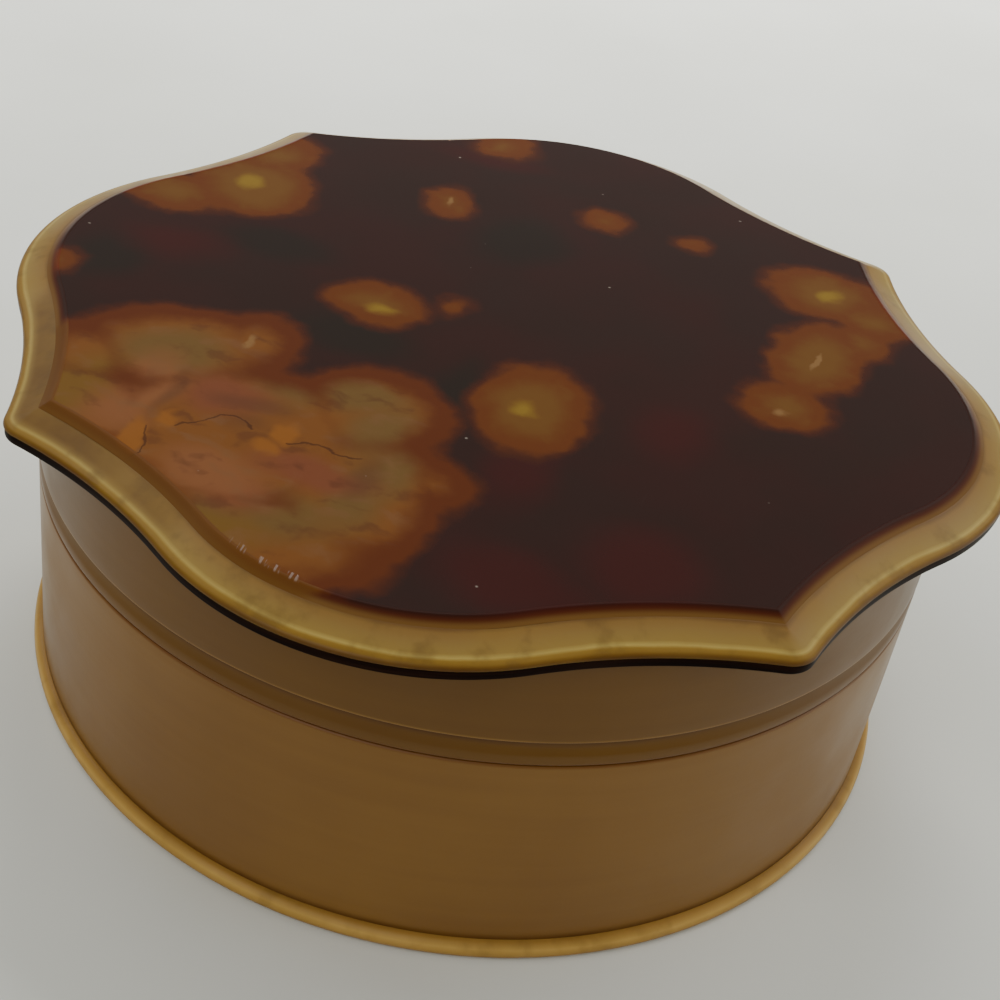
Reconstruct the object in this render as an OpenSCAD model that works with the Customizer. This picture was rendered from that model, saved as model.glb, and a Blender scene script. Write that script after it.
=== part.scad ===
// Round lidded box in moulded and laminated sheet plastic, with a cake of rosin set on its floor.
// The lid is a flat scalloped plate on a round skirt. It lifts straight off the box's inner collar.
// Millimetres. The origin is the middle of the underside, +Z is up, and the lid's lobes lie along X and Y.

/* [Box] */
// Outside radius of the round wall and of the lid's skirt
wall_r = 46; // [40:0.5:60]
// Thickness of the round wall and of the lid's skirt
wall_t = 2.2; // [1.8:0.1:3]
// Height of the seam between the box and its lid
seam_z = 24.3; // [22:0.1:40]
// Thickness of the base plate
base_t = 2; // [1.6:0.1:3]
// How far the base plate's rounded edge stands out past the wall
base_lip = 1; // [0.6:0.1:1.6]
// Thickness of the collar inside the wall
collar_t = 1.4; // [1:0.1:2]
// How far the collar rises into the lid
collar_rise = 7; // [4:0.5:9]

/* [Lid skirt] */
// Height of the skirt, from the seam to the lid's flat plate
skirt_h = 12.4; // [11:0.1:16]
// Height of the recessed band above the seam
band_h = 2.8; // [2:0.1:4]
// Depth of the step at the top of the band
band_step = 0.5; // [0.3:0.05:0.8]
// Radial clearance between the collar and the skirt
skirt_fit = 0.1; // [0.05:0.01:0.1]
// Open gap at the seam
seam_gap = 0.1; // [0.05:0.05:0.3]
// Chamfer on both edges of the seam
seam_chamfer = 0.3; // [0.1:0.05:0.5]

/* [Lid outline] */
// Radius from the middle of the lid to the crown of each lobe
lobe_reach = 51; // [50:0.1:54]
// Radius of the convex arc of each lobe
lobe_arc = 27; // [24:0.5:30]
// Radius from the middle to each pointed corner before it is rounded
corner_reach = 51.3; // [50.5:0.1:54]
// Radius of the concave arc between a corner and a lobe
waist_arc = 54; // [46:0.5:70]
// Radius that rounds each pointed corner
corner_round = 3; // [1:0.1:4]

/* [Lid layers] */
// Thickness of the dark sheet under the plate
backing_t = 1; // [0.6:0.1:1.5]
// Thickness of the clear plate
plate_t = 1.6; // [1.4:0.1:2.4]
// Radius that rounds the plate's outer edge
nose_r = 0.5; // [0.3:0.05:0.6]
// Slope of the plate's bevel, in degrees
plate_slope = 22; // [19:0.5:26]
// Thickness of the mottled veneer
veneer_t = 0.6; // [0.5:0.1:1]
// Slope of the veneer's edge, in degrees
veneer_slope = 30; // [27:1:45]

/* [Rosin] */
// Radius of the rosin cake
cake_r = 33; // [20:0.5:36]
// Height of the rosin cake
cake_h = 13; // [8:0.5:15]
// Radius that rounds the cake's top edge
cake_round = 2; // [1:0.1:3]
// Depth of the dish in the cake's top
cake_dish = 0.6; // [0.2:0.1:1.2]

/* [Hidden] */
$fn = 96;
// Steps along the corner's, the waist's and the lobe's arc in an eighth of the outline
corner_steps = 3;
waist_steps = 8;
lobe_steps = 8;
nose_steps = 4;
round_steps = 6;
// A corner that the bevel has made sharp keeps this radius
sharpest = 0.25;
backing_inset = 0.1;
skirt_nick = 0.2;

bore_r = wall_r - wall_t;
skirt_z = seam_z + seam_gap;
backing_z = seam_z + skirt_h;
plate_z = backing_z + backing_t;
veneer_z = plate_z + plate_t;
top_z = veneer_z + veneer_t;
// The bevel starts where the rounded edge has turned to its slope
nose_turn = 90 - plate_slope;
nose_inset = nose_r * (1 - cos(nose_turn));
nose_rise = nose_r * sin(nose_turn);
plate_inset = nose_inset + (plate_t - nose_rise) / tan(plate_slope);
veneer_inset = plate_inset + veneer_t / tan(veneer_slope);

// Outline of the lid. An eighth of it is drawn with a pointed corner on +X and a lobe at 45 degrees.
function polar(r, a) = [r * cos(a), r * sin(a)];
function heading(p, q) = atan2(q.y - p.y, q.x - p.x);
function arc(c, r, a, b, steps) = [for (i = [0:steps - 1]) c + polar(r, a + (b - a) * i / steps)];

lobe_c = polar(lobe_reach - lobe_arc, 45);
// The waist's centre is waist_arc from the corner and waist_arc + lobe_arc from the lobe's centre
corner_p = [corner_reach, 0];
corner_to_lobe = norm(lobe_c - corner_p);
waist_far = lobe_arc + waist_arc;
waist_turn = acos((waist_arc ^ 2 + corner_to_lobe ^ 2 - waist_far ^ 2) / (2 * waist_arc * corner_to_lobe));
waist_c = corner_p + polar(waist_arc, heading(corner_p, lobe_c) - waist_turn);

// All the arcs keep their centres as the outline moves in, so the bevel is as wide all round
function corner_rad(inset) = max(corner_round - inset, sharpest);
function corner_c(inset) =
    let (reach = waist_arc + inset + corner_rad(inset))
    [waist_c.x - sqrt(reach ^ 2 - waist_c.y ^ 2), 0];
function eighth(inset) =
    let (c = corner_c(inset))
    let (at_corner = heading(waist_c, c))
    let (at_lobe = heading(waist_c, lobe_c))
    let (corner_end = heading(c, waist_c))
    let (lobe_start = heading(lobe_c, waist_c))
    concat(
        arc(c, corner_rad(inset), 0, corner_end, corner_steps),
        arc(waist_c, waist_arc + inset, at_corner, at_lobe, waist_steps),
        arc(lobe_c, lobe_arc - inset, lobe_start, 45, lobe_steps),
        [lobe_c + polar(lobe_arc - inset, 45)]
    );
function quarter(inset) =
    let (e = eighth(inset))
    let (last = len(e) - 1)
    concat([for (i = [last:-1:1]) [e[i].x, -e[i].y]], [for (i = [0:last - 1]) e[i]]);
function turned(p, a) = [p.x * cos(a) - p.y * sin(a), p.x * sin(a) + p.y * cos(a)];
function outline(inset) = [for (q = [0:3]) for (p = quarter(inset)) turned(p, 45 + 90 * q)];

// A closed solid through rings of the outline, each given as [inset, height], from the bottom up
module layer(rings) {
    n = len(outline(0));
    top = len(rings) - 1;
    points = [for (ring = rings) for (p = outline(ring[0])) [p.x, p.y, ring[1]]];
    sides = [
        for (i = [0:top - 1]) for (j = [0:n - 1])
            let (k = (j + 1) % n)
            each [
                [i * n + j, (i + 1) * n + j, (i + 1) * n + k],
                [i * n + j, (i + 1) * n + k, i * n + k]
            ]
    ];
    floor_face = [for (j = [0:n - 1]) j];
    top_face = [for (j = [n - 1:-1:0]) top * n + j];
    polyhedron(points = points, faces = concat([floor_face], sides, [top_face]));
}

// Base plate: a clear disc with a fully rounded edge that shows as a bead round the foot
module base_plate() {
    edge = base_t / 2;
    color("goldenrod")
    rotate_extrude()
    polygon(concat(
        [[0, 0]],
        [for (i = [0:round_steps * 2])
            [wall_r + base_lip - edge, edge] + polar(edge, -90 + 90 * i / round_steps)],
        [[0, base_t]]
    ));
}

// Wall: a plain ring that stands on the base plate, with a chamfer at the seam
module box_wall() {
    color("peru")
    rotate_extrude()
    polygon([
        [bore_r, base_t],
        [wall_r, base_t],
        [wall_r, seam_z - seam_chamfer],
        [wall_r - seam_chamfer, seam_z],
        [bore_r, seam_z]
    ]);
}

// Collar: a thin lining ring, glued inside the wall, that guides the lid
module box_collar() {
    lead = collar_t / 2;
    top = seam_z + collar_rise;
    color("sienna")
    rotate_extrude()
    polygon([
        [bore_r - collar_t, base_t],
        [bore_r, base_t],
        [bore_r, top - lead],
        [bore_r - lead, top],
        [bore_r - collar_t, top]
    ]);
}

// Rosin cake: a cast disc stuck to the floor, with a rounded top edge and a shallow dish
module rosin_cake() {
    rim_r = cake_r - cake_round;
    top = base_t + cake_h;
    color("darkorange")
    rotate_extrude()
    polygon(concat(
        [[0, base_t]],
        [[cake_r, base_t]],
        [for (i = [0:round_steps]) [rim_r, top - cake_round] + polar(cake_round, 90 * i / round_steps)],
        [for (i = [1:round_steps]) let (t = i / round_steps)
            [rim_r * (1 - t), top - cake_dish * (1 - cos(180 * min(t * 2, 1))) / 2]]
    ));
}

// Skirt: the lid's round rim, with a step and a hollow band above the seam
module lid_skirt() {
    band_z = seam_z + band_h;
    foot_r = wall_r - band_step;
    flare_z = skirt_z + (band_z - skirt_z) * 0.38;
    color("peru")
    rotate_extrude()
    polygon(concat(
        [[bore_r + skirt_fit, skirt_z]],
        [[wall_r - seam_chamfer, skirt_z]],
        [[wall_r, skirt_z + seam_chamfer]],
        [for (i = [0:round_steps]) let (t = i / round_steps)
            [wall_r - band_step * sin(90 * t), flare_z + (band_z - flare_z) * t]],
        [[wall_r - skirt_nick, band_z]],
        [[wall_r, band_z + skirt_nick]],
        [[wall_r, backing_z]],
        [[bore_r + skirt_fit, backing_z]]
    ));
}

// Backing: a thin dark sheet under the clear plate, which shows as a line round the lid's edge
module lid_backing() {
    color([0.12, 0.07, 0.05])
    layer([[backing_inset, backing_z], [backing_inset, plate_z]]);
}

// Plate: a clear sheet with a rounded outer edge and a broad bevel up to the veneer
module lid_plate() {
    nose = [for (i = [0:nose_steps]) let (a = nose_turn * i / nose_steps)
        [nose_r * (1 - cos(a)), plate_z + nose_r * sin(a)]];
    color("goldenrod")
    layer(concat(nose, [[plate_inset, veneer_z]]));
}

// Veneer: a mottled sheet on top of the plate, whose edge is cut at a steeper slope
module lid_veneer() {
    color([0.25, 0.14, 0.12])
    layer([[plate_inset, veneer_z], [veneer_inset, top_z]]);
}

base_plate();
box_wall();
box_collar();
rosin_cake();
lid_skirt();
lid_backing();
lid_plate();
lid_veneer();
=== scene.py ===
# %% [markdown]
# A round box with a scalloped lid and a cake of rosin inside
# ===========================================================
# The box is old sheet-plastic ware. Its sides are opaque butterscotch plastic, the foot and the
# lid's edge are clear amber sheet, and the top is a thin mottled sheet that imitates tortoiseshell.
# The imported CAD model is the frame. It stays as it is, and every new piece takes its place from it.

# %% Load the frame
import math

import bmesh
import bpy
from mathutils import Matrix, Vector, noise


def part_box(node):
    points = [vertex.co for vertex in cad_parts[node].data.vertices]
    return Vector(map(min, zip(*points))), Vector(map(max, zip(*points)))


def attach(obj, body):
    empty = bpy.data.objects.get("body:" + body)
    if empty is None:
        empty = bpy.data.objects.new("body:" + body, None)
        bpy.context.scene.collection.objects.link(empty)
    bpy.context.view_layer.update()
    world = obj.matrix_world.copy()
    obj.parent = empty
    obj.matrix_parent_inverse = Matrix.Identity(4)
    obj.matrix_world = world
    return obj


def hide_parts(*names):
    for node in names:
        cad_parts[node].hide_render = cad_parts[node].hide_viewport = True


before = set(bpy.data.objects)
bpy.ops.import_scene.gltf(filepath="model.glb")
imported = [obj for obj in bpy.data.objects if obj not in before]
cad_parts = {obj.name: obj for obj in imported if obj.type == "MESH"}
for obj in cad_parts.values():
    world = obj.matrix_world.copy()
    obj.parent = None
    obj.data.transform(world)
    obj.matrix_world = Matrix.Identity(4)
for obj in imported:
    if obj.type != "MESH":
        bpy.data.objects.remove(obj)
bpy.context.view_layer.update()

# %% [markdown]
# Sizes
# -----
# Heights and radii are read from the boxes of the CAD nodes, so a change to the design moves the
# looks with it. The few sizes that a box can't give, such as a clearance or a step, are named here.

# %% Sizes
MM = 0.001
WALL_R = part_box("box_wall")[1].x
FOOT_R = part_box("base_plate")[1].x
COLLAR_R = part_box("box_collar")[1].x
CAKE_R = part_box("rosin_cake")[1].x
FLOOR_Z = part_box("base_plate")[1].z
SEAM_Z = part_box("box_wall")[1].z
COLLAR_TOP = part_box("box_collar")[1].z
CAKE_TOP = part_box("rosin_cake")[1].z
SKIRT_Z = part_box("lid_skirt")[0].z
BACKING_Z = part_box("lid_backing")[0].z
PLATE_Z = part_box("lid_plate")[0].z
VENEER_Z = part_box("lid_veneer")[0].z
TOP_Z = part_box("lid_veneer")[1].z
COLLAR_T = 1.4 * MM
SKIRT_FIT = 0.1 * MM
BAND_Z = SEAM_Z + 2.8 * MM
BAND_STEP = 0.5 * MM
print(f"wall radius {WALL_R / MM:.1f} mm, seam at {SEAM_Z / MM:.1f} mm, top at {TOP_Z / MM:.1f} mm")

# %% [markdown]
# Paint and patterns
# ------------------
# A finish is a node tree. Typing each node and link in full hides the recipe, so this small class
# turns one node into one call. All patterns read Object coordinates in millimetres. The pieces are
# never unwrapped, and a pattern then has its real size and stays put when the lid moves.

# %% The finish class
def paint(red, green, blue):
    """A colour on the usual 0 to 255 scale, as the linear values that a shader needs."""
    shares = [value / 255 for value in (red, green, blue)]
    return [s / 12.92 if s <= 0.04045 else ((s + 0.055) / 1.055) ** 2.4 for s in shares] + [1]


class Finish:
    """A material written as steps. Any value may be a number, a colour or another step's result."""

    def __init__(self, name):
        self.material = bpy.data.materials.new(name)
        self.material.use_nodes = True
        self.tree = self.material.node_tree
        self.shader = self.tree.nodes["Principled BSDF"]
        place = self.tree.nodes.new("ShaderNodeTexCoord").outputs["Object"]
        self.place = self.vector("SCALE", place, scale=1 / MM)
        split = self.tree.nodes.new("ShaderNodeSeparateXYZ")
        self.feed(split.inputs[0], self.place)
        self.height = split.outputs["Z"]

    def feed(self, socket, value):
        if isinstance(value, bpy.types.NodeSocket):
            self.tree.links.new(value, socket)
        else:
            socket.default_value = value

    def own(self, name):
        """A number that the mesh itself carries at each point."""
        step = self.tree.nodes.new("ShaderNodeAttribute")
        step.attribute_name = name
        return step.outputs["Fac"]

    def math(self, operation, a, b=0.0, c=0.0):
        step = self.tree.nodes.new("ShaderNodeMath")
        step.operation = operation
        for socket, value in zip(step.inputs, (a, b, c)):
            self.feed(socket, value)
        return step.outputs[0]

    def vector(self, operation, a, b=(0, 0, 0), scale=1.0):
        step = self.tree.nodes.new("ShaderNodeVectorMath")
        step.operation = operation
        self.feed(step.inputs[0], a)
        self.feed(step.inputs[1], b)
        if operation == "SCALE":
            self.feed(step.inputs["Scale"], scale)
        return step.outputs["Value" if operation in ("LENGTH", "DOT_PRODUCT") else "Vector"]

    def noise(self, size, detail=3.0, stretch=(1, 1, 1), at=None, colour=False):
        """Cloudy noise whose patches are about size millimetres across."""
        step = self.tree.nodes.new("ShaderNodeTexNoise")
        where = self.place if at is None else at
        self.feed(step.inputs["Vector"], self.vector("DIVIDE", where, [size * s for s in stretch]))
        step.inputs["Scale"].default_value = 1.0
        step.inputs["Detail"].default_value = detail
        return step.outputs["Color" if colour else "Fac"]

    def cells(self, size, seed=0.0):
        """Distance to the nearest of a scatter of points that are size millimetres apart."""
        step = self.tree.nodes.new("ShaderNodeTexVoronoi")
        moved = self.vector("ADD", self.place, (seed, seed, seed))
        self.feed(step.inputs["Vector"], self.vector("DIVIDE", moved, (size, size, size)))
        step.inputs["Scale"].default_value = 1.0
        return step.outputs["Distance"]

    def fade(self, value, start, end):
        """0 at start, 1 at end, and a smooth change between them."""
        step = self.tree.nodes.new("ShaderNodeMapRange")
        step.interpolation_type = "SMOOTHSTEP"
        self.feed(step.inputs["Value"], value)
        turned = start > end
        step.inputs["From Min"].default_value = end if turned else start
        step.inputs["From Max"].default_value = start if turned else end
        step.inputs["To Min"].default_value = 1.0 if turned else 0.0
        step.inputs["To Max"].default_value = 0.0 if turned else 1.0
        return step.outputs[0]

    def ramp(self, value, *stops):
        """Colours along a value, given as (place, colour)."""
        step = self.tree.nodes.new("ShaderNodeValToRGB")
        self.feed(step.inputs[0], value)
        band = step.color_ramp.elements
        while len(band) < len(stops):
            band.new(1.0)
        for element, (place, colour) in zip(band, stops):
            element.position = place
            element.color = colour
        return step.outputs["Color"]

    def mix(self, share, a, b, blend="MIX"):
        step = self.tree.nodes.new("ShaderNodeMix")
        step.data_type = "RGBA"
        step.blend_type = blend
        for index, value in ((0, share), (6, a), (7, b)):
            self.feed(step.inputs[index], value)
        return step.outputs[2]

    def vary(self, share, low, high):
        """A number that goes from low to high as share goes from 0 to 1."""
        return self.math("MULTIPLY_ADD", share, high - low, low)

    def bump(self, height, depth):
        """Relief that is depth millimetres from its lowest to its highest point."""
        step = self.tree.nodes.new("ShaderNodeBump")
        self.feed(step.inputs["Height"], height)
        step.inputs["Distance"].default_value = depth * MM
        if self.shader.inputs["Normal"].is_linked:
            self.feed(step.inputs["Normal"], self.shader.inputs["Normal"].links[0].from_socket)
        self.feed(self.shader.inputs["Normal"], step.outputs[0])

    def set(self, colour, roughness, **fixed):
        """Joins colour and roughness to the shader, and sets the rest on its own sockets."""
        self.feed(self.shader.inputs["Base Color"], colour)
        self.feed(self.shader.inputs["Roughness"], roughness)
        for name, value in fixed.items():
            self.shader.inputs[name.replace("_", " ")].default_value = value
        print(f"{self.material.name}: {len(self.tree.nodes)} nodes")
        return self.material


# %% [markdown]
# Wear that every part shares
# ---------------------------
# Old sheet plastic has been wiped for decades. It carries hairline scratches, a few pale specks of
# dust, and duller patches where hands held it. One function adds all three, so the whole object
# looks the same age. On flat parts the hairlines run every way. Round the walls they lie level,
# because a cloth goes round a round box. An image of dust would repeat, and noise doesn't.

# %% Handling wear
# Each hairline noise is drawn out by these lengths in millimetres along X, Y and Z
EVERY_WAY = ((0.16, 5.0, 0.9), (4.0, 0.2, 1.1))
LEVEL = ((16.0, 16.0, 0.1),)
DUST_WHITE = paint(205, 195, 180)


def handled(finish, colour, shine, dust=0.35, dulled=0.12, hairs=EVERY_WAY):
    """Adds specks, hairlines and dull patches. Gives the new colour and roughness."""
    speck = finish.fade(finish.cells(4.2, seed=7.0), 0.045, 0.025)
    chosen = finish.fade(finish.noise(9.0, detail=1.0), 0.56, 0.62)
    seen = finish.math("MULTIPLY", speck, chosen)
    colour = finish.mix(finish.math("MULTIPLY", seen, dust), colour, DUST_WHITE)
    hairline = 0.0
    for stretch in hairs:
        grain = finish.noise(1.0, detail=2.0, stretch=stretch)
        hairline = finish.math("MAXIMUM", hairline, finish.fade(grain, 0.72, 0.8))
    patches = finish.fade(finish.noise(14.0, detail=4.0), 0.35, 0.7)
    rough = finish.vary(patches, shine - dulled / 3, shine + dulled * 2 / 3)
    rough = finish.math("MULTIPLY_ADD", hairline, 0.10, rough)
    finish.bump(hairline, -0.001)
    return colour, rough


print("hairlines:", len(EVERY_WAY), "sets on flat parts,", len(LEVEL), "on the walls")

# %% [markdown]
# Butterscotch plastic
# --------------------
# The wall, the skirt and the collar are opaque plastic, coloured right through. It was rolled into
# sheet and bent round, so faint streaks run round the box. The creases are painted darker by
# height, partly as dirt and partly as painted shade where parts meet and under the step. The
# parting gap gets painted shade and the step's edge a painted highlight, and the skirt's paint is
# darker than the wall's, as painted shade under the lid. Height is used because the turned parts
# have no other detail to follow.

# %% Butterscotch finish
# Crease colours: dirt with painted shade, painted shade in the parting gap, and a painted highlight on the
# step's edge.
CREASE_DIRT_AND_SHADE = paint(78, 42, 16)
SEAM_SHADE = paint(112, 68, 28)
STEP_HIGHLIGHT = paint(158, 118, 54)


def butterscotch(name, light, dark, creases=(), shine=0.36):
    """creases are (height, reach, strength, colour) in millimetres. Their colours are dirt with painted
    shade, painted shade in the parting gap, and a painted highlight on the step's edge.
    """
    finish = Finish(name)
    streaks = finish.noise(1.0, detail=4.0, stretch=(40.0, 40.0, 1.6))
    clouds = finish.noise(26.0, detail=3.0)
    tone = finish.math("MULTIPLY_ADD", streaks, 0.25, finish.math("MULTIPLY", clouds, 0.75))
    colour = finish.mix(finish.fade(tone, 0.3, 0.7), dark, light)
    crease_patchiness = finish.noise(5.0, detail=3.0)
    # Each crease paints its tint by height. The tints are dirt with painted shade, painted shade, and a
    # painted highlight.
    for height, width, strength, tint in creases:
        away = finish.math("ABSOLUTE", finish.math("SUBTRACT", finish.height, height))
        crease_mark = finish.math("MULTIPLY", finish.fade(away, width, 0.0), finish.vary(crease_patchiness, 0.4, 1.4))
        colour = finish.mix(finish.math("MULTIPLY", crease_mark, strength), colour, tint)
    colour, rough = handled(finish, colour, shine, dust=0.25, hairs=LEVEL)
    finish.bump(finish.noise(0.5, detail=2.0), 0.005)
    finish.bump(streaks, 0.015)
    return finish.set(colour, rough, Specular_IOR_Level=0.3)


# The wall: dirt with painted shade at its foot, and painted shade at the parting gap.
WALL = butterscotch("butterscotch_wall", paint(134, 95, 38), paint(123, 84, 31),
                    creases=((FLOOR_Z / MM, 0.9, 0.7, CREASE_DIRT_AND_SHADE), (SEAM_Z / MM, 0.4, 0.9, SEAM_SHADE)))
# The skirt: dirt with painted shade under the step, painted shade at the parting gap, and a painted highlight
# on the step's edge. Its colours are darker than the wall's, as painted shade under the lid.
SKIRT = butterscotch("butterscotch_skirt", paint(110, 74, 16), paint(100, 65, 12),
                     creases=((BAND_Z / MM - 0.3, 0.6, 0.6, CREASE_DIRT_AND_SHADE), (SKIRT_Z / MM, 0.4, 0.9, SEAM_SHADE),
                              (BAND_Z / MM + 0.1, 0.25, 0.6, STEP_HIGHLIGHT)))
# The collar: dirt with painted shade where it meets the foot and the wall.
COLLAR = butterscotch("butterscotch_collar", paint(158, 112, 48), paint(144, 98, 38),
                      creases=((FLOOR_Z / MM, 1.0, 0.6, CREASE_DIRT_AND_SHADE), (SEAM_Z / MM, 0.5, 0.3, CREASE_DIRT_AND_SHADE)))

# %% [markdown]
# Clear amber sheet
# -----------------
# The foot and the lid's plate are clear amber. Light goes in at the polished nose and glows there,
# so the nose is a bright yellow line. The filed bevel is scratched dull and holds brown dirt. Real
# glass shading would be slow and grainy here, so the glow is painted by height over a little
# subsurface light. A wander of less than a tenth of a millimetre keeps those bands from looking ruled.

# %% Amber finish
AMBER_CLOUD = paint(146, 112, 40)
BROWN_DIRT = paint(96, 68, 28)
DROP_BROWN = paint(100, 68, 22)
DROP_TAN = paint(116, 84, 30)


def amber(name, bands, smudge, shine=0.42, drops=()):
    """bands are (height in millimetres, colour) from the bottom up. Near drops the bevel is browner."""
    finish = Finish(name)
    low, high = bands[0][0], bands[-1][0]
    wander = finish.math("MULTIPLY_ADD", finish.noise(6.0, detail=3.0), 0.14, -0.07)
    level = finish.math("ADD", finish.height, wander)
    share = finish.math("DIVIDE", finish.math("SUBTRACT", level, low), high - low)
    colour = finish.ramp(share, *[((h - low) / (high - low), c) for h, c in bands])
    if drops:
        flat = finish.vector("MULTIPLY", finish.place, (1, 1, 0))
        near = finish.fade(outside(finish, flat, drops, 2.0), 3.0, -1.0)
        upper = finish.fade(level, low + 0.55, low + 1.05)
        patches = finish.fade(finish.noise(6.0, detail=3.0), 0.35, 0.65)
        brown = finish.mix(patches, DROP_BROWN, DROP_TAN)
        colour = finish.mix(finish.math("MULTIPLY", near, upper), colour, brown)
    clouds = finish.fade(finish.noise(7.0, detail=4.0), 0.35, 0.7)
    colour = finish.mix(finish.math("MULTIPLY", clouds, 0.25), colour, AMBER_CLOUD)
    dirt = finish.fade(finish.noise(3.2, detail=4.0), 0.5, 0.72)
    colour = finish.mix(finish.math("MULTIPLY", dirt, smudge), colour, BROWN_DIRT)
    colour, rough = handled(finish, colour, shine, dust=0.2)
    finish.bump(finish.noise(0.8, detail=3.0), 0.012)
    return finish.set(colour, rough, Specular_IOR_Level=0.2, Subsurface_Weight=0.15,
                      Subsurface_Radius=(1.0, 0.6, 0.25), Subsurface_Scale=1.2 * MM)


# The bands paint the bead brightest along its upper part, as a painted glow and highlight, and darker at the
# bottom and where it meets the wall, as painted shade.
FOOT = amber("amber_foot",
             ((0.0, paint(124, 86, 32)), (0.9, paint(180, 138, 66)), (1.5, paint(202, 162, 86)),
              (2.0, paint(160, 118, 54))), smudge=0.25)

# %% [markdown]
# Dark backing
# ------------
# A thin dark sheet is glued under the clear plate. Only its polished edge shows, as a near-black
# line. It isn't one flat black: the layers of glue leave it redder in places. A line drawn on the
# plate would do from one side only, so it is a sheet of its own, with hardly any gloss.

# %% Backing finish
def dark_sheet():
    finish = Finish("dark_sheet")
    layers = finish.noise(1.0, detail=3.0, stretch=(12.0, 12.0, 0.5))
    colour = finish.ramp(finish.fade(layers, 0.35, 0.68), (0.0, paint(17, 6, 3)), (1.0, paint(33, 15, 7)))
    colour, rough = handled(finish, colour, 0.42, dust=0.15)
    finish.bump(finish.noise(0.9, detail=2.0), 0.01)
    return finish.set(colour, rough, Specular_IOR_Level=0.03)


BACKING = dark_sheet()

# %% [markdown]
# Mottled veneer
# --------------
# The top sheet imitates tortoiseshell. Drops of amber were stirred into dark plastic and pressed
# flat, so each blotch is a rounded drop with a soft red rim, and some have a yellow heart. Noise
# alone gives camouflage and not drops. So each drop is a listed ellipse, near ellipses melt
# into one, and noise only bends their edges.

# %% Drops of amber
# Each drop is (x, y, half width, half height) in millimetres on the lid
SMALL_DROPS = (
    (-33.7, 16.2, 7.5, 7.5), (-33.9, 25.1, 4.5, 5), (-40.9, 10.2, 5.5, 4.5), (-44.5, -10, 2.4, 2.6),
    (-12.7, 23.5, 3, 4), (-11, 42, 4, 3.6), (4.8, 27.8, 3.2, 2.6), (14.7, 27.2, 1.7, 1.8),
    (-12.4, -2.1, 5.4, 4.4), (-4.9, 1, 1.4, 1.7), (7.0, -13.8, 5.9, 8.0), (30.2, 23.1, 6.8, 5.6),
    (36.1, 19.5, 4, 4.5), (31.2, 8.8, 4.8, 8), (28.9, -1.7, 4.4, 4.6), (35, 14.2, 3, 4),
)
# The large drop is these, melted into one
BIG_DROP = (
    (-26.4, -19.2, 10, 8), (-20.4, -15.4, 4.8, 6), (-6.3, -21.4, 7.5, 8.5), (-33.7, -24.3, 6, 6),
    (-16.8, -30.4, 14, 12), (-3.3, -33.7, 8, 11), (2.6, -29.4, 4, 3.4), (-10, -42.2, 13, 6),
    (-31.7, -32.9, 10, 9),
)
YELLOW_HEARTS = (
    (-34.6, 16.7, 1.5, 1.7), (-11.9, -3.3, 1.1, 1), (6.6, -14.3, 1.2, 1.2), (30.7, 23.1, 1.3, 1.2),
)
PALE_SPOTS = (
    (-12.7, 23.5, 0.35, 0.9), (30.9, 8.3, 0.3, 1.7), (28.4, -3.1, 0.6, 0.5), (-20.9, -15.4, 0.4, 1.1),
)
WHITE_SPECKS = (
    (-45.5, -1.1, 0.14, 0.1), (2.9, -21.2, 0.12, 0.12), (18.9, 35.9, 0.14, 0.1), (9.7, -40.9, 0.1, 0.1),
)
BLACK_CLOUDS = (
    (-2.7, 18.3, 5, 5), (-0.2, -13, 2, 5), (-40.5, -5.7, 4, 5), (-12.3, -9, 6, 3), (-25.9, 4.6, 6, 3),
)
RED_CLOUDS = (
    (19.9, -11.5, 3, 4), (22, -32.4, 5, 5), (8.6, -24.1, 3, 5), (-36.1, -0.4, 5, 3),
    (-10.9, 37.4, 5, 2), (11.7, -39, 6, 4),
)


def outside(finish, at, drops, melt):
    """Millimetres outside the nearest drop, below 0 inside it. Close drops melt into each other."""
    nearest = None
    for x, y, wide, high in drops:
        offset = finish.vector("SUBTRACT", at, (x, y, 0))
        share = finish.vector("LENGTH", finish.vector("DIVIDE", offset, (wide, high, 1)))
        radius = (wide + high) / 2
        away = finish.math("MULTIPLY_ADD", share, radius, -radius)
        nearest = away if nearest is None else finish.math("SMOOTH_MIN", nearest, away, melt)
    return nearest


def bent(finish, reach, size, at, detail=3.0):
    """The same place, moved up to reach millimetres each way by noise."""
    push = finish.vector("SUBTRACT", finish.noise(size, detail=detail, colour=True), (0.5, 0.5, 0.5))
    return finish.vector("ADD", at, finish.vector("MULTIPLY", push, (2 * reach, 2 * reach, 0)))


print("drops:", len(SMALL_DROPS), "small,", len(BIG_DROP), "in the large one")

# %% [markdown]
# The large drop's heart
# ----------------------
# The largest drop has cooled in layers. From the rim inwards it is burnt orange, olive tan and a
# dull pink, with a few hairline cracks across the pink, and small bright orange spots by the cracks
# are painted glints. A crack is the distance to a short line, so it can be thin and stay sharp, where
# a noise crack would wander off.

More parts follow.
